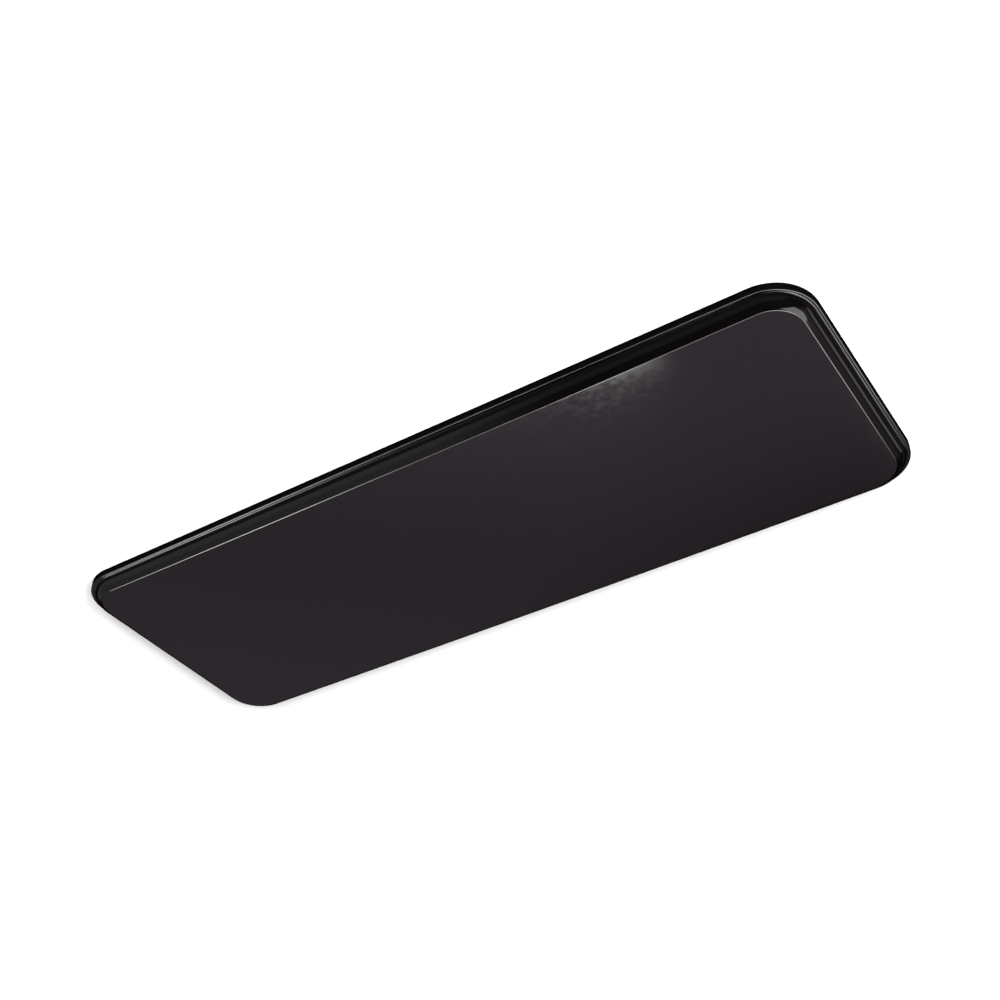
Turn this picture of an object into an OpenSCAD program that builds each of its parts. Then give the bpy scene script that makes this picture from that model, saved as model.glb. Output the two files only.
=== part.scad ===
// Door kick plate: a shallow moulded pan with rounded corners, stiffened inside
// and held on by foam tape behind.
// Millimetres. The mounting plane is Z = 0 and the face looks along +Z.
// X runs along the plate and +Y is the top edge when the plate hangs on a door.
// The origin is the centre of the mounting plane.

/* [Plate] */
// Overall length along X
plate_length = 864; // [560:1:1200]
// Overall height along Y
plate_height = 305; // [200:1:500]
// Depth from the mounting plane to the flat face
plate_depth = 21; // [19:0.5:40]
// Corner radius seen from the front, at the outer skirt
corner_radius = 47; // [35:1:80]

/* [Face pan] */
// Thickness of the moulded sheet
sheet = 3; // [2:0.1:4]
// Radius of the rounded shoulder between the face and the side wall
shoulder_radius = 16; // [10:0.5:17]
// How far the face lies below the top of the shoulder's arc, which leaves a crisp crease
crease_cut = 1; // [0.2:0.1:3]
// Width of the ledge between the outer skirt and the foot of the shoulder
ledge_width = 4.5; // [3:0.1:10]
// Rounding on the rim, where the skirt turns in to the ledge
rim_round = 1.2; // [0.3:0.1:1.4]
// Inside curve between the ledge and the shoulder
cove_radius = 1.5; // [0.5:0.1:1.8]

/* [Core] */
// Width of each stiffening rib
rib_width = 20; // [10:1:40]
// Distance between the centres of the two ribs
rib_spacing = 280; // [150:5:500]
// Assembly gap between a core slab and its neighbours
core_gap = 0.5; // [0.2:0.1:2]

/* [Back panel] */
// Thickness of the back panel
panel_thickness = 3; // [2:0.5:6]
// Gap between the back panel and the skirt
panel_gap = 0.3; // [0.1:0.1:1]

/* [Edge seal] */
// Width of the foam seal that runs round inside the skirt
seal_width = 7; // [4:0.5:12]

/* [Tape] */
// Width of each foam tape strip
tape_width = 25; // [12:1:40]
// Thickness of the foam tape
tape_thickness = 1.6; // [0.8:0.1:3]
// Clear space between the seal and the nearest strips
tape_inset = 2; // [1:0.5:6]
// Clear space between the long strips and the ends of the cross strips
strip_gap = 4; // [2:0.5:12]
// Distance between the centres of neighbouring cross strips
cross_spacing = 200; // [120:5:350]
// Thickness of the release liner on each strip
liner_thickness = 0.2; // [0.1:0.05:0.4]
// Diameter of the rounded finger tab on each liner
tab_diameter = 18; // [12:1:30]
// How far the finger tab reaches past the edge of its strip
tab_reach = 10; // [5:1:15]

/* [Hidden] */
$fn = 96;
overcut = 1;

corner_x = plate_length / 2 - corner_radius;
corner_y = plate_height / 2 - corner_radius;

// Reaches are measured outward from the lines through the corner centres.
skirt_reach = corner_radius;
wall_reach = skirt_reach - ledge_width;
cavity_reach = wall_reach - sheet;
panel_reach = skirt_reach - sheet - panel_gap;
seal_reach = panel_reach - seal_width;

// The shoulder's arc inside the sheet, and how far it rises to the underside of the face.
inner_radius = shoulder_radius - sheet;
inner_rise = inner_radius - crease_cut;
inner_flat = sqrt(inner_radius * inner_radius - inner_rise * inner_rise);
core_reach = cavity_reach - inner_radius + inner_flat - core_gap;

// Levels above the mounting plane.
panel_z = liner_thickness + tape_thickness;
core_z = panel_z + panel_thickness;
core_height = plate_depth - sheet - core_z;

// The back panel bears on the underside of the ledge.
skirt_height = core_z + sheet;

// The shoulder's arc is struck from this level.
shoulder_z = plate_depth + crease_cut - shoulder_radius;

// The cove is tangent to the ledge and to the shoulder's arc. Its centre stands outside the
// arc's foot by join_reach, and it meets the arc join_height above the ledge. On a deep plate
// the ledge lies below the arc, and the cove meets the upright wall instead.
join_rise = max(0, skirt_height + cove_radius - shoulder_z);
join_span = shoulder_radius + cove_radius;
join_reach = sqrt(join_span * join_span - join_rise * join_rise) - shoulder_radius;
join_height = cove_radius * (1 - join_rise / join_span);

// Half sizes of the area inside the seal that the strips share.
strip_edge_x = corner_x + seal_reach - tape_inset;
strip_edge_y = corner_y + seal_reach - tape_inset;

// Strips stop at the corner centres, clear of the seal's rounded corners.
long_half = corner_x;
cross_length = 2 * (strip_edge_y - tape_width - strip_gap);

// Each corner: the side it is on along X and Y, and where its arc starts.
corners = [[1, 1, 0], [-1, 1, 90], [-1, -1, 180], [1, -1, 270]];

pan_black = "#1b1a1c";
core_grey = "#cfd2cc";
rib_white = "#e6e4dc";
panel_grey = "#3a3b3d";
seal_black = "#202122";
tape_grey = "#55585a";
liner_red = "#b5483a";

// ---------- shared outlines ----------

module quarter_disc(r) {
    intersection() {
        circle(r = r);
        square(r + overcut);
    }
}

// The plate's outline with its edge at the given reach from the corner centres.
module rounded_outline(reach) {
    square([2 * corner_x, 2 * (corner_y + reach)], center = true);
    square([2 * (corner_x + reach), 2 * corner_y], center = true);
    for (c = corners)
        translate([c[0] * corner_x, c[1] * corner_y])
            rotate(c[2])
                quarter_disc(reach);
}

module rounded_slab(reach, z, height) {
    translate([0, 0, z])
        linear_extrude(height)
            rounded_outline(reach);
}

// ---------- face pan ----------

// Filled section from the corner line outward, with its front edge rounded.
module rounded_section(reach, height, radius) {
    square([reach - radius, height]);
    translate([reach - radius, 0])
        square([radius, height - radius]);
    translate([reach - radius, height - radius])
        quarter_disc(radius);
}

// A rounded section cut off level, below the top of its arc.
module shoulder_section(reach, height, radius) {
    intersection() {
        rounded_section(reach, height + crease_cut, radius);
        square([reach + overcut, height]);
    }
}

// Inside curve that fills the angle between the ledge and the shoulder.
module cove() {
    translate([wall_reach - overcut, skirt_height])
        difference() {
            square([overcut + join_reach, join_height]);
            translate([overcut + join_reach, cove_radius])
                rotate(180)
                    quarter_disc(cove_radius);
        }
}

// The void behind the shoulder and face, and the wider one inside the skirt.
module pan_void() {
    translate([-overcut, -overcut])
        shoulder_section(cavity_reach + overcut, plate_depth - sheet + overcut, inner_radius);
    translate([-overcut, -overcut])
        square([skirt_reach - sheet + overcut, skirt_height - sheet + overcut]);
}

module pan_section() {
    difference() {
        union() {
            shoulder_section(wall_reach, plate_depth, shoulder_radius);
            rounded_section(skirt_reach, skirt_height, rim_round);
            cove();
        }
        pan_void();
    }
}

module pan_corners() {
    for (c = corners)
        translate([c[0] * corner_x, c[1] * corner_y, 0])
            rotate([0, 0, c[2]])
                rotate_extrude(angle = 90)
                    pan_section();
}

module pan_long_side() {
    translate([-corner_x, corner_y, 0])
        rotate([90, 0, 90])
            linear_extrude(2 * corner_x)
                pan_section();
}

module pan_short_side() {
    translate([corner_x, corner_y, 0])
        rotate([90, 0, 0])
            linear_extrude(2 * corner_y)
                pan_section();
}

module face_pan() {
    color(pan_black) {
        pan_corners();
        for (turn = [0, 180])
            rotate([0, 0, turn]) {
                pan_long_side();
                pan_short_side();
            }
        translate([-corner_x, -corner_y, plate_depth - sheet])
            cube([2 * corner_x, 2 * corner_y, sheet]);
    }
}

// ---------- core and ribs ----------

// The part of the core layer between two values of X.
module core_bay(x_from, x_to) {
    intersection() {
        rounded_slab(core_reach, core_z, core_height);
        translate([x_from, -plate_height / 2, core_z - overcut])
            cube([x_to - x_from, plate_height, core_height + 2 * overcut]);
    }
}

module core_centre() {
    inner = rib_spacing / 2 - rib_width / 2 - core_gap;
    color(core_grey) core_bay(-inner, inner);
}

module core_end(side) {
    outer = rib_spacing / 2 + rib_width / 2 + core_gap;
    color(core_grey)
        if (side > 0) core_bay(outer, plate_length / 2);
        else core_bay(-plate_length / 2, -outer);
}

module core_left() {
    core_end(-1);
}

module core_right() {
    core_end(1);
}

module rib(side) {
    color(rib_white)
        translate([side * rib_spacing / 2 - rib_width / 2, -corner_y - core_reach, core_z])
            cube([rib_width, 2 * (corner_y + core_reach), core_height]);
}

module rib_left() {
    rib(-1);
}

module rib_right() {
    rib(1);
}

// ---------- back panel and seal ----------

module back_panel() {
    color(panel_grey) rounded_slab(panel_reach, panel_z, panel_thickness);
}

module edge_seal() {
    color(seal_black)
        difference() {
            rounded_slab(panel_reach, 0, panel_z);
            rounded_slab(seal_reach, -overcut, panel_z + 2 * overcut);
        }
}

// ---------- tape strips and their liners ----------

// A flat strip about a centre point, with its full size along X and Y.
module strip(centre, size, z, height) {
    translate([centre[0] - size[0] / 2, centre[1] - size[1] / 2, z])
        cube([size[0], size[1], height]);
}

module tape(centre, size) {
    color(tape_grey) strip(centre, size, liner_thickness, tape_thickness);
}

// The tab leaves the strip's edge in the direction given as a unit step in X and Y.
// The shift moves it along X, to keep it off the cross strips.
module liner(centre, size, step, shift = 0) {
    edge = [centre[0] + step[0] * size[0] / 2 + shift,
            centre[1] + step[1] * size[1] / 2];
    stem = tab_reach - tab_diameter / 2;
    color(liner_red)
        union() {
            strip(centre, size, 0, liner_thickness);
            translate([edge[0] + step[0] * stem, edge[1] + step[1] * stem, 0])
                cylinder(d = tab_diameter, h = liner_thickness);
        }
}

long_size = [2 * long_half, tape_width];
cross_size = [tape_width, cross_length];
long_y = strip_edge_y - tape_width / 2;
end_x = strip_edge_x - tape_width / 2;

module tape_top() {
    tape([0, long_y], long_size);
}

module tape_bottom() {
    tape([0, -long_y], long_size);
}

module tape_left_end() {
    tape([-end_x, 0], cross_size);
}

module tape_right_end() {
    tape([end_x, 0], cross_size);
}

module tape_cross_left() {
    tape([-cross_spacing, 0], cross_size);
}

module tape_cross_centre() {
    tape([0, 0], cross_size);
}

module tape_cross_right() {
    tape([cross_spacing, 0], cross_size);
}

module liner_top() {
    liner([0, long_y], long_size, [0, -1], cross_spacing / 2);
}

module liner_bottom() {
    liner([0, -long_y], long_size, [0, 1], cross_spacing / 2);
}

module liner_left_end() {
    liner([-end_x, 0], cross_size, [1, 0]);
}

module liner_right_end() {
    liner([end_x, 0], cross_size, [-1, 0]);
}

module liner_cross_left() {
    liner([-cross_spacing, 0], cross_size, [1, 0]);
}

module liner_cross_centre() {
    liner([0, 0], cross_size, [1, 0]);
}

module liner_cross_right() {
    liner([cross_spacing, 0], cross_size, [1, 0]);
}

// ---------- what is drawn ----------

face_pan();
core_left();
core_centre();
core_right();
rib_left();
rib_right();
back_panel();
edge_seal();
tape_top();
tape_bottom();
tape_left_end();
tape_right_end();
tape_cross_left();
tape_cross_centre();
tape_cross_right();
liner_top();
liner_bottom();
liner_left_end();
liner_right_end();
liner_cross_left();
liner_cross_centre();
liner_cross_right();
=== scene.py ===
import math

import bmesh
import bpy
from mathutils import Matrix, Vector


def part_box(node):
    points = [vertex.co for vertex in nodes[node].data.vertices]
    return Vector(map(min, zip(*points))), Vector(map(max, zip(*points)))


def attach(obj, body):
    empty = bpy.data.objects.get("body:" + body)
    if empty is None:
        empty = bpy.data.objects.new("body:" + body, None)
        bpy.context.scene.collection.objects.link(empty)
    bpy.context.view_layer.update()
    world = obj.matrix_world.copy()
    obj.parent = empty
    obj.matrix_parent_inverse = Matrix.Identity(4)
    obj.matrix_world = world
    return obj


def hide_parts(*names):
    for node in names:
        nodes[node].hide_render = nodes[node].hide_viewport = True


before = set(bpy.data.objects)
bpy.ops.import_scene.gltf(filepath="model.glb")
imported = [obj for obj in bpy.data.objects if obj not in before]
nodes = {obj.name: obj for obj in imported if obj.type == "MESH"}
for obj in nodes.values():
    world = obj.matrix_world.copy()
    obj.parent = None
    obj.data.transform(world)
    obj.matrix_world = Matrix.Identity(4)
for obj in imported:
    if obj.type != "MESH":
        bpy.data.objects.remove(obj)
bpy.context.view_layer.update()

MM = 0.001

# ---------- sizes of the face pan, in metres ----------

low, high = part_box("face_pan")
LENGTH = high[0] - low[0]
HEIGHT = high[1] - low[1]
DEPTH = high[2] - low[2]
CORNER_RADIUS = 47 * MM
SHEET = 3 * MM
SKIRT_HEIGHT = 7.8 * MM
LEDGE_WIDTH = 4.5 * MM
RIM_ROUND = 1.2 * MM
COVE_RADIUS = 1.5 * MM
SHOULDER_RADIUS = 16 * MM
# The face lies this far below the top of the shoulder's arc, and meets it in a tight bend.
CREASE_CUT = 1 * MM
CREASE_ROUND = 2.5 * MM
# The shoulder's arc is struck from this level, which puts its top above the face.
SHOULDER_FOOT = DEPTH + CREASE_CUT - SHOULDER_RADIUS
# The face stands this much higher at mid length than at its ends. Only the outer skin
# bows, so the sheet thins towards the ends as a drawn sheet does.
DOME = 2 * MM
# How finely each arc is stepped, and how many points stand along each straight side.
CORNER_STEPS = 24
SHOULDER_STEPS = 20
SMALL_STEPS = 6
LENGTH_CUTS = 63
WIDTH_CUTS = 15
# The face has a ring this far in from the crease, which keeps the bend tight.
SUPPORT_STEP = 0.6 * MM
# The extra rings that hold a flat band flat lie this far from its ends.
RIM_STEP = 0.25 * MM
# Edges that turn more than this are left sharp.
SHARP_ANGLE = math.radians(40)
LEVEL_SLACK = 0.01 * MM
MERGE_DISTANCE = 1e-7
STRAIGHT_HALF = LENGTH / 2 - CORNER_RADIUS
QUARTER_TURN = math.pi / 2


# ---------- material helpers ----------

NOISE = "ShaderNodeTexNoise"
CELLS = "ShaderNodeTexVoronoi"
# Most of a noise pattern's values lie between these two.
NOISE_LOW = 0.3
NOISE_HIGH = 0.7


def linear(hex_colour):
    """An sRGB hex colour as the linear RGBA that a shader takes."""
    parts = [int(hex_colour[i:i + 2], 16) / 255 for i in (1, 3, 5)]
    curve = [p / 12.92 if p <= 0.04045 else ((p + 0.055) / 1.055) ** 2.4 for p in parts]
    return (*curve, 1.0)


def add_node(tree, kind, settings=None, inputs=None, links=None):
    """A node with its settings, its fixed inputs, and its inputs linked from outputs."""
    node = tree.nodes.new(kind)
    for name, value in (settings or {}).items():
        setattr(node, name, value)
    for name, value in (inputs or {}).items():
        node.inputs[name].default_value = value
    for name, output in (links or {}).items():
        tree.links.new(output, node.inputs[name])
    return node


def start_material(name, fixed):
    """A material with one Principled shader, its even values set on its own sockets."""
    material = bpy.data.materials.new(name)
    material.use_nodes = True
    tree = material.node_tree
    tree.nodes.clear()
    shader = add_node(tree, "ShaderNodeBsdfPrincipled", inputs=fixed)
    add_node(tree, "ShaderNodeOutputMaterial", links={"Surface": shader.outputs["BSDF"]})
    place = add_node(tree, "ShaderNodeTexCoord").outputs["Object"]
    return material, tree, shader, place


def add_pattern(tree, place, kind, grain, detail, stretch):
    """A cell or noise pattern about grain metres across, drawn out along the stretched axes.
    Cells take no detail."""
    scale = [1 / (grain * s) for s in stretch]
    mapped = add_node(tree, "ShaderNodeMapping", inputs={"Scale": scale}, links={"Vector": place})
    inputs = {"Scale": 1.0} if kind == CELLS else {"Scale": 1.0, "Detail": detail}
    pattern = add_node(tree, kind, inputs=inputs, links={"Vector": mapped.outputs["Vector"]})
    return pattern.outputs["Distance" if kind == CELLS else "Fac"]


def finish_surface(tree, shader, place, colours, tone, grain, roughness=None, bump=0.0):
    """Colour that drifts with one pattern, and roughness and relief that follow another."""
    tone_value = add_pattern(tree, place, *tone)
    grain_value = add_pattern(tree, place, *grain)
    mix = add_node(tree, "ShaderNodeMix", settings={"data_type": "RGBA"},
                   links={"Factor": tone_value})
    mix.inputs["A"].default_value = linear(colours[0])
    mix.inputs["B"].default_value = linear(colours[1])
    tree.links.new(mix.outputs["Result"], shader.inputs["Base Color"])
    if roughness:
        spread = add_node(tree, "ShaderNodeMapRange", links={"Value": grain_value},
                          inputs={"From Min": NOISE_LOW, "From Max": NOISE_HIGH,
                                  "To Min": roughness[0], "To Max": roughness[1]})
        tree.links.new(spread.outputs["Result"], shader.inputs["Roughness"])
    relief = add_node(tree, "ShaderNodeBump", inputs={"Strength": 1.0, "Distance": bump},
                      links={"Height": grain_value})
    tree.links.new(relief.outputs["Normal"], shader.inputs["Normal"])


# ---------- materials ----------

def moulded_gloss_abs():
    """Vacuum-formed black ABS with a gloss cap: sharp reflections over near black, a very
    faint orange peel about 6 mm across, and a gloss that softens and sharpens with it."""
    material, tree, shader, place = start_material("moulded_gloss_abs", {"IOR": 1.53})
    finish_surface(tree, shader, place, ("#040304", "#050405"), (NOISE, 90 * MM, 2, (1, 1, 1)),
                   (NOISE, 6 * MM, 1, (1, 1, 1)), (0.05, 0.08), 0.002 * MM)
    return material


def extruded_foam():
    """Rigid closed-cell foam slab: pale and dull, with cells about 0.8 mm across."""
    material, tree, shader, place = start_material("extruded_foam", {"Roughness": 0.85})
    cells = (CELLS, 0.8 * MM, 0, (1, 1, 1))
    finish_surface(tree, shader, place, ("#c4c7c1", "#dcded8"), cells, cells, bump=0.15 * MM)
    return material


def extruded_rigid_pvc():
    """Extruded rigid PVC batten: off-white satin with fine draw lines along Y."""
    material, tree, shader, place = start_material("extruded_rigid_pvc", {"IOR": 1.53})
    lines = (NOISE, 0.6 * MM, 2, (1, 80, 1))
    finish_surface(tree, shader, place, ("#dedbd0", "#ebe8df"), lines, lines, (0.38, 0.5), 0.03 * MM)
    return material


def rolled_hdpe_sheet():
    """Rolled HDPE sheet: charcoal, waxy, with a pebbled grain about 1.2 mm across."""
    material, tree, shader, place = start_material("rolled_hdpe_sheet", {"IOR": 1.54})
    finish_surface(tree, shader, place, ("#35363a", "#404246"), (NOISE, 40 * MM, 3, (1, 1, 1)),
                   (NOISE, 1.2 * MM, 2, (1, 1, 1)), (0.42, 0.58), 0.05 * MM)
    return material


def expanded_epdm():
    """Expanded EPDM seal: soot black and dull, with open cells about 0.5 mm across."""
    material, tree, shader, place = start_material("expanded_epdm", {"Roughness": 0.9})
    cells = (NOISE, 0.5 * MM, 3, (1, 1, 1))
    finish_surface(tree, shader, place, ("#161617", "#262628"), cells, cells, bump=0.12 * MM)
    return material


def acrylic_foam():
    """Acrylic foam tape seen at its cut edge: mid grey, slightly rubbery."""
    material, tree, shader, place = start_material("acrylic_foam", {"Roughness": 0.7})
    cells = (NOISE, 0.4 * MM, 2, (1, 1, 1))
    finish_surface(tree, shader, place, ("#4b4e51", "#5e6164"), cells, cells, bump=0.05 * MM)
    return material


def siliconised_paper():
    """Siliconised red release paper: satin, with fibres a few millimetres long and a
    slight cockle about 30 mm across."""
    material, tree, shader, place = start_material("siliconised_paper", {"IOR": 1.45})
    finish_surface(tree, shader, place, ("#a83a2f", "#b9493c"), (NOISE, 0.4 * MM, 3, (6, 2, 1)),
                   (NOISE, 30 * MM, 1, (1, 1, 1)), (0.3, 0.4), 0.1 * MM)
    return material


def finish_cad_nodes():
    """Every carried-over piece takes the material of its kind."""
    kinds = (("core_", extruded_foam()), ("rib_", extruded_rigid_pvc()),
             ("back_panel", rolled_hdpe_sheet()), ("edge_seal", expanded_epdm()),
             ("tape_", acrylic_foam()), ("liner_", siliconised_paper()))
    for name, piece in nodes.items():
        for start, material in kinds:
            if name.startswith(start):
                piece.data.materials.clear()
                piece.data.materials.append(material)


# ---------- face pan ----------

def ring_in(bm, face, inward, rise):
    """Grows the next ring of the section: the cap shrinks by inward and moves up by rise."""
    if inward > 0:
        bmesh.ops.inset_region(bm, faces=[face], thickness=inward, use_even_offset=True, use_boundary=True)
        cap = face
    else:
        cap = bmesh.ops.extrude_discrete_faces(bm, faces=[face])["faces"][0]
    bmesh.ops.translate(bm, verts=cap.verts, vec=(0, 0, rise))
    return cap


def arc_in(bm, face, radius, steps, start, end):
    """An arc of the section, whose direction turns from start to end. Zero is upright and a
    quarter turn is level and inward."""
    angles = [start + (end - start) * i / steps for i in range(steps + 1)]
    for a, b in zip(angles[:-1], angles[1:]):
        face = ring_in(bm, face, radius * (math.cos(a) - math.cos(b)),
                       radius * (math.sin(b) - math.sin(a)))
    return face


def pan_outline(bm):
    """The skirt's outline: a plate with round corners and points along its straight sides."""
    bmesh.ops.create_grid(bm, x_segments=1, y_segments=1, size=0.5)
    bmesh.ops.scale(bm, vec=(LENGTH, HEIGHT, 1), verts=bm.verts)
    bmesh.ops.bevel(bm, geom=list(bm.verts), offset=CORNER_RADIUS, offset_type="OFFSET", affect="VERTICES",
                    segments=CORNER_STEPS, profile=0.5, material=-1)
    for axis, size, cuts in ((0, LENGTH, LENGTH_CUTS), (1, HEIGHT, WIDTH_CUTS)):
        straight = [e for e in bm.edges
                    if abs(e.verts[0].co[axis] - e.verts[1].co[axis]) > size / 2]
        bmesh.ops.bisect_edges(bm, edges=straight, cuts=cuts)
    return bm.faces[:][0]


def grow_outer_skin(bm, cap):
    """Up the skirt, in over the rim and the ledge, round the cove and over the shoulder."""
    cap = ring_in(bm, cap, 0, RIM_STEP)
    cap = ring_in(bm, cap, 0, SKIRT_HEIGHT - RIM_ROUND - 2 * RIM_STEP)
    cap = ring_in(bm, cap, 0, RIM_STEP)
    cap = arc_in(bm, cap, RIM_ROUND, SMALL_STEPS, 0, QUARTER_TURN)
    # The cove is tangent to the ledge and to the shoulder's arc.
    span = SHOULDER_RADIUS + COVE_RADIUS
    join = math.asin((SKIRT_HEIGHT + COVE_RADIUS - SHOULDER_FOOT) / span)
    cove_reach = span * math.cos(join) - SHOULDER_RADIUS
    cap = ring_in(bm, cap, RIM_STEP, 0)
    cap = ring_in(bm, cap, LEDGE_WIDTH - RIM_ROUND - cove_reach - 2 * RIM_STEP, 0)
    cap = ring_in(bm, cap, RIM_STEP, 0)
    for i in range(SMALL_STEPS):
        a, b = ((QUARTER_TURN - join) * k / SMALL_STEPS for k in (i, i + 1))
        cap = ring_in(bm, cap, COVE_RADIUS * (math.sin(b) - math.sin(a)),
                      COVE_RADIUS * (math.cos(a) - math.cos(b)))
    bend = math.asin((SHOULDER_RADIUS - CREASE_CUT - CREASE_ROUND) / (SHOULDER_RADIUS - CREASE_ROUND))
    cap = arc_in(bm, cap, SHOULDER_RADIUS, SHOULDER_STEPS, join, bend)
    cap = arc_in(bm, cap, CREASE_ROUND, SMALL_STEPS, bend, QUARTER_TURN)
    return ring_in(bm, cap, SUPPORT_STEP, 0)


def grow_cavity(bm, cap):
    """Up inside the skirt, in under the ledge, then up and over to the underside of the face."""
    inner_radius = SHOULDER_RADIUS - SHEET
    cap = ring_in(bm, cap, RIM_STEP, 0)
    cap = ring_in(bm, cap, SHEET - RIM_STEP, 0)
    cap = ring_in(bm, cap, 0, SKIRT_HEIGHT - SHEET)
    cap = ring_in(bm, cap, LEDGE_WIDTH, 0)
    cap = ring_in(bm, cap, 0, SHOULDER_FOOT - SKIRT_HEIGHT + SHEET)
    bend = math.asin((inner_radius - CREASE_CUT) / inner_radius)
    return arc_in(bm, cap, inner_radius, SHOULDER_STEPS, 0, bend)


def cut_across(bm, cuts):
    """Cuts the level face into strips across the plate, so that it can bow along its length."""
    for i in range(1, cuts + 1):
        x = -STRAIGHT_HALF + 2 * STRAIGHT_HALF * i / (cuts + 1)
        level = [f for f in bm.faces if min(v.co.z for v in f.verts) > DEPTH - LEVEL_SLACK]
        geom = level + list({e for f in level for e in f.edges}) + list({v for f in level for v in f.verts})
        bmesh.ops.bisect_plane(bm, geom=geom, dist=LEVEL_SLACK, plane_co=(x, 0, 0), plane_no=(1, 0, 0))


def bow_outer_skin(bm):
    """Lowers the outer skin towards the ends, most at the face and not at all at the ledge."""
    for v in bm.verts:
        lift = max(0.0, (v.co.z - SKIRT_HEIGHT) / (DEPTH - SKIRT_HEIGHT))
        v.co.z -= DOME * lift * (2 * v.co.x / LENGTH) ** 2


def link_piece(name, bm, material):
    """A bmesh as a shown object at the origin, smooth except at its sharp edges."""
    mesh = bpy.data.meshes.new(name)
    bm.to_mesh(mesh)
    bm.free()
    mesh.materials.append(material)
    mesh.shade_smooth()
    mesh.set_sharp_from_angle(angle=SHARP_ANGLE)
    piece = bpy.data.objects.new(name, mesh)
    bpy.context.scene.collection.objects.link(piece)
    return piece


def make_face_pan():
    """The pan as one closed shell, in place of the CAD's flat-faced one."""
    bm = bmesh.new()
    bottom = pan_outline(bm)
    # The plate's lower face stays and its copy grows into the outer skin.
    grown = bmesh.ops.extrude_face_region(bm, geom=[bottom], use_keep_orig=True)["geom"]
    top = next(g for g in grown if isinstance(g, bmesh.types.BMFace))
    bmesh.ops.recalc_face_normals(bm, faces=bm.faces)
    grow_outer_skin(bm, top)
    cut_across(bm, LENGTH_CUTS)
    bow_outer_skin(bm)
    grow_cavity(bm, bottom)
    bmesh.ops.remove_doubles(bm, verts=bm.verts, dist=MERGE_DISTANCE)
    bmesh.ops.recalc_face_normals(bm, faces=bm.faces)
    piece = link_piece("moulded_face_pan", bm, moulded_gloss_abs())
    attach(piece, "root")
    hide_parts("face_pan")
    return piece


# ---------- stage, light and camera ----------

PAPER = "#f4f4f4"
WHITE = "#ffffff"
FLOOR_SIZE = 60.0
FLOOR_DROP = 0.3 * MM
# How bright the paper's painted reflection glows to gloss. It is black, a painted shade of the plate, up to
# the first distance past the plate's +X or +Y edge and at its full level past the second.
PAINTED_PAPER_REFLECTION = 0.05
SHADE_START = 8 * MM
SHADE_END = 24 * MM
# How bright the room is to gloss where there is no panel, counted once with the walls and
# once with the lights, and how bright it is to everything that isn't glossy.
ROOM_LEVEL = 0.003
FILL_LEVEL = 0.27
WALL_TINT = (1.0, 0.81, 0.97, 1.0)
LIGHT_TINT = (1.0, 1.0, 1.0, 1.0)
# The soft panels that gloss sees. Each has a brightness, and a list of fades along an axis
# of the direction looked in: nothing at the first number, full at the second. The far wall
# is faintly pink and the rest is neutral.
WALL_PANELS = (
    # the far wall, which gives the face its tone, and its brighter top
    (0.27, ((1, -0.15, -0.35), (1, -0.86, -0.66), (2, 0.25, 0.45), (2, 0.76, 0.74))),
    (0.22, ((1, -0.15, -0.35), (0, 0.0, -0.15), (2, 0.585, 0.725), (2, 0.76, 0.74))),
)
LIGHT_PANELS = (
    # the left of the room, and a dim panel low in front
    (0.28, ((0, -0.36, -0.46), (1, -0.3, -0.1), (2, -0.05, 0.1))),
    (0.11, ((1, 0.4, 0.6), (2, -0.1, 0.0), (2, 0.62, 0.5))),
    # a strip light above the wall, which steps down towards the left and widens there
    (12.0, ((1, -0.05, -0.15), (0, 0.0, -0.1), (0, -0.33, -0.28), (2, 0.765, 0.785), (2, 0.86, 0.84))),
    (15.0, ((1, -0.05, -0.15), (0, -0.28, -0.33), (0, -0.64, -0.56), (2, 0.70, 0.715), (2, 0.76, 0.745))),
    (14.0, ((1, -0.05, -0.15), (0, -0.45, -0.6), (2, 0.70, 0.73), (2, 0.87, 0.84))),
    # an upright strip light at the far right, and a low panel further right
    (7.0, ((1, -0.3, -0.45), (1, -0.765, -0.70), (0, -0.178, -0.12), (0, 0.15, 0.1), (2, 0.2, 0.4))),
    (0.8, ((1, -0.3, -0.45), (0, 0.60, 0.66), (2, -0.02, 0.02), (2, 0.28, 0.22))),
    # a small overhead panel
    (3.0, ((0, 0.22, 0.26), (0, 0.76, 0.62), (1, -0.68, -0.62), (1, -0.02, -0.12), (2, 0.58, 0.66))),
)
# The soft lights: name, place, width in metres and power in watts. All point at the plate,
# and none shows in gloss. The last one lights the plate's back.
LAMPS = (
    ("key", (3.4, 7.5, 3.5), 4.4, 1400),
    ("side", (8.0, 2.0, 3.2), 4.4, 1450),
    ("under", (1.0, 1.0, -3.0), 3.0, 260),
)
CAMERA_TURN = math.radians(146.49)
CAMERA_RISE = math.radians(39.46)
CAMERA_ROLL = math.radians(-179.07)
CAMERA_REACH = 1.4642
CAMERA_AIM = Vector((0.0591, 0.0429, 0.019))
CAMERA_LENS = 52.50
CAMERA_SENSOR = 36


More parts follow.
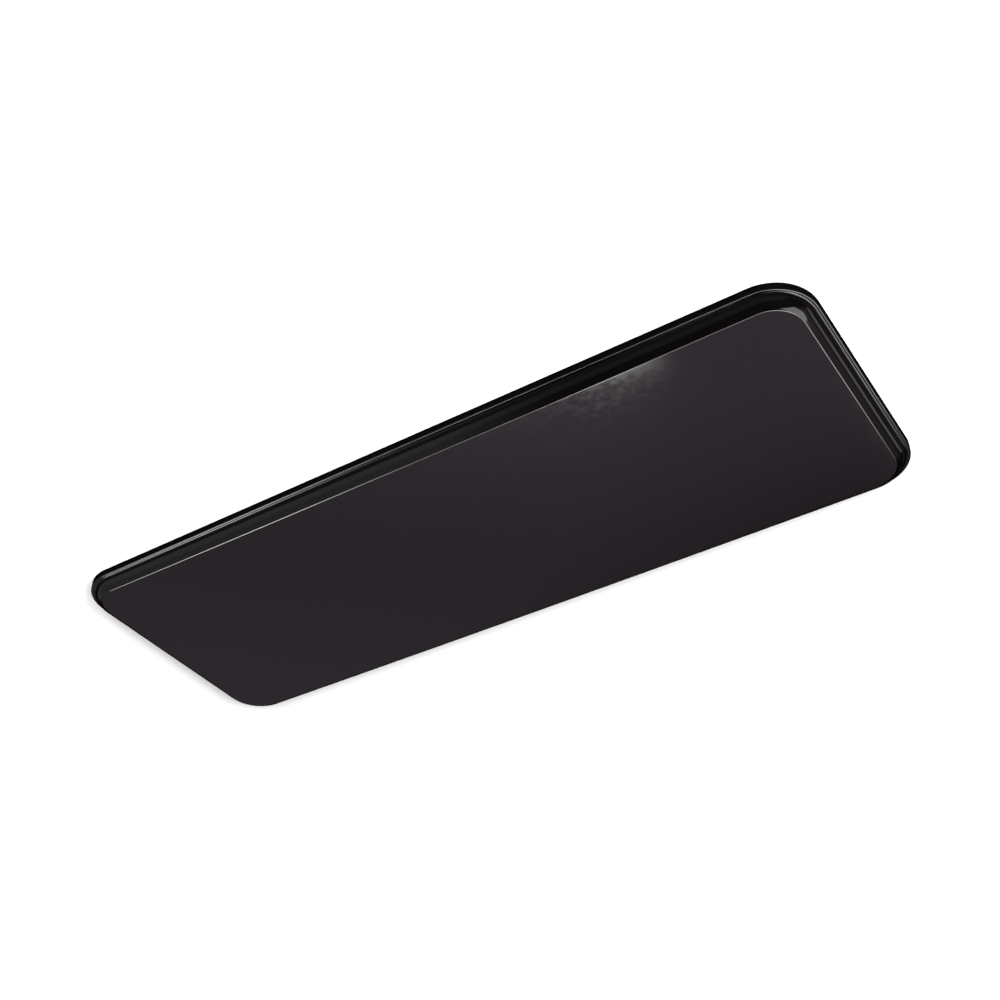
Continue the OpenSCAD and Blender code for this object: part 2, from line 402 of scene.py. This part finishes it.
def studio_paper():
    """Pale seamless paper. To gloss it is a painted reflection, an emission that is dim past the plate's +X
    and +Y edges and black elsewhere, a painted shade close to the plate, and from below it is clear."""
    material = bpy.data.materials.new("studio_paper")
    material.use_nodes = True
    tree = material.node_tree
    tree.nodes.clear()
    place = add_node(tree, "ShaderNodeTexCoord").outputs["Object"]
    axes = add_node(tree, "ShaderNodeSeparateXYZ", links={"Vector": place}).outputs
    past_end = add_node(tree, "ShaderNodeMath", settings={"operation": "SUBTRACT"},
                        inputs={1: LENGTH / 2}, links={0: axes["X"]})
    past_side = add_node(tree, "ShaderNodeMath", settings={"operation": "SUBTRACT"},
                         inputs={1: HEIGHT / 2}, links={0: axes["Y"]})
    past = add_node(tree, "ShaderNodeMath", settings={"operation": "MAXIMUM"},
                    links={0: past_end.outputs[0], 1: past_side.outputs[0]})
    # Painted shade: the paper's glow to gloss is nothing near the plate and on its -X and -Y sides, and
    # rises past its +X and +Y edges.
    painted_shade_and_glow = add_node(tree, "ShaderNodeMapRange", settings={"interpolation_type": "SMOOTHSTEP"},
                    inputs={"From Min": SHADE_START, "From Max": SHADE_END, "To Max": PAINTED_PAPER_REFLECTION},
                    links={"Value": past.outputs[0]})
    paper = add_node(tree, "ShaderNodeBsdfDiffuse", inputs={"Color": linear(PAPER)})
    # A painted reflection: the paper glows to glossy rays, though it is no lamp.
    dim = add_node(tree, "ShaderNodeEmission", inputs={"Color": linear(WHITE)},
                   links={"Strength": painted_shade_and_glow.outputs["Result"]})
    clear = add_node(tree, "ShaderNodeBsdfTransparent")
    ray = add_node(tree, "ShaderNodeLightPath").outputs["Is Glossy Ray"]
    back = add_node(tree, "ShaderNodeNewGeometry").outputs["Backfacing"]
    seen = add_node(tree, "ShaderNodeMixShader", links={0: ray, 1: paper.outputs[0], 2: dim.outputs[0]})
    both = add_node(tree, "ShaderNodeMixShader", links={0: back, 1: seen.outputs[0], 2: clear.outputs[0]})
    add_node(tree, "ShaderNodeOutputMaterial", links={"Surface": both.outputs[0]})
    return material


def make_floor():
    """A wide sheet of the paper, just below the plate."""
    bm = bmesh.new()
    bmesh.ops.create_grid(bm, x_segments=1, y_segments=1, size=FLOOR_SIZE / 2)
    bmesh.ops.translate(bm, verts=bm.verts, vec=(0, 0, -FLOOR_DROP))
    floor = link_piece("floor", bm, studio_paper())
    # It lets light up from below, so that the back of the plate can be seen in a view from there.
    floor.visible_shadow = False
    floor.visible_diffuse = False


def sum_panels(tree, axes, panels):
    """The brightness of all the panels together, along the direction looked in."""
    total = None
    for level, fades in panels:
        panel = None
        for axis, nothing, full in fades:
            fade = add_node(tree, "ShaderNodeMapRange", settings={"interpolation_type": "SMOOTHSTEP"},
                            inputs={"From Min": nothing, "From Max": full},
                            links={"Value": axes[axis]}).outputs["Result"]
            if panel is None:
                panel = fade
            else:
                panel = add_node(tree, "ShaderNodeMath", settings={"operation": "MULTIPLY"},
                                 links={0: panel, 1: fade}).outputs[0]
        joined = add_node(tree, "ShaderNodeMath", settings={"operation": "MULTIPLY_ADD"},
                          inputs={1: level, 2: ROOM_LEVEL}, links={0: panel})
        if total is not None:
            tree.links.new(total, joined.inputs[2])
        total = joined.outputs[0]
    return total


def make_world():
    """Even white light for everything that isn't glossy. Gloss sees a dim room with soft
    panels, which draw the tones along the shoulder, and the camera sees a pale backdrop."""
    world = bpy.data.worlds.new("studio")
    bpy.context.scene.world = world
    world.use_nodes = True
    tree = world.node_tree
    tree.nodes.clear()
    direction = add_node(tree, "ShaderNodeTexCoord").outputs["Generated"]
    axes = add_node(tree, "ShaderNodeSeparateXYZ", links={"Vector": direction}).outputs
    walls, lights = (add_node(tree, "ShaderNodeBackground", inputs={"Color": tint},
                              links={"Strength": sum_panels(tree, axes, panels)})
                     for tint, panels in ((WALL_TINT, WALL_PANELS), (LIGHT_TINT, LIGHT_PANELS)))
    gloss = add_node(tree, "ShaderNodeAddShader", links={0: walls.outputs[0], 1: lights.outputs[0]})
    fill = add_node(tree, "ShaderNodeBackground",
                    inputs={"Color": linear(WHITE), "Strength": FILL_LEVEL})
    backdrop = add_node(tree, "ShaderNodeBackground", inputs={"Color": linear(PAPER)})
    rays = add_node(tree, "ShaderNodeLightPath").outputs
    lit = add_node(tree, "ShaderNodeMixShader",
                   links={0: rays["Is Glossy Ray"], 1: fill.outputs[0], 2: gloss.outputs[0]})
    shown = add_node(tree, "ShaderNodeMixShader",
                     links={0: rays["Is Camera Ray"], 1: lit.outputs[0], 2: backdrop.outputs[0]})
    add_node(tree, "ShaderNodeOutputWorld", links={"Surface": shown.outputs[0]})


def add_lamp(name, place, size, power):
    """A square soft light that points at the plate's origin and doesn't show in gloss."""
    light = bpy.data.lights.new(name, "AREA")
    light.size = size
    light.energy = power
    lamp = bpy.data.objects.new(name, light)
    lamp.location = place
    lamp.rotation_euler = (-Vector(place)).to_track_quat("-Z", "Y").to_euler()
    lamp.visible_glossy = False
    bpy.context.scene.collection.objects.link(lamp)


def make_camera():
    """A camera that looks at CAMERA_AIM from CAMERA_REACH away, turned about its own axis."""
    turn, rise, roll = CAMERA_TURN, CAMERA_RISE, CAMERA_ROLL
    back = Vector((math.sin(turn) * math.cos(rise), -math.cos(turn) * math.cos(rise), math.sin(rise)))
    level = Vector((0, 0, 1)).cross(back).normalized()
    upright = back.cross(level)
    right = math.cos(roll) * level + math.sin(roll) * upright
    up = -math.sin(roll) * level + math.cos(roll) * upright
    camera_data = bpy.data.cameras.new("camera")
    camera_data.lens = CAMERA_LENS
    camera_data.sensor_width = CAMERA_SENSOR
    camera = bpy.data.objects.new("camera", camera_data)
    turned = Matrix((right, up, back)).transposed().to_4x4()
    camera.matrix_world = Matrix.Translation(CAMERA_AIM + back * CAMERA_REACH) @ turned
    bpy.context.scene.collection.objects.link(camera)
    bpy.context.scene.camera = camera


make_camera()
make_floor()
make_world()
for lamp in LAMPS:
    add_lamp(*lamp)
finish_cad_nodes()
make_face_pan()
bpy.context.scene.view_settings.view_transform = "Standard"
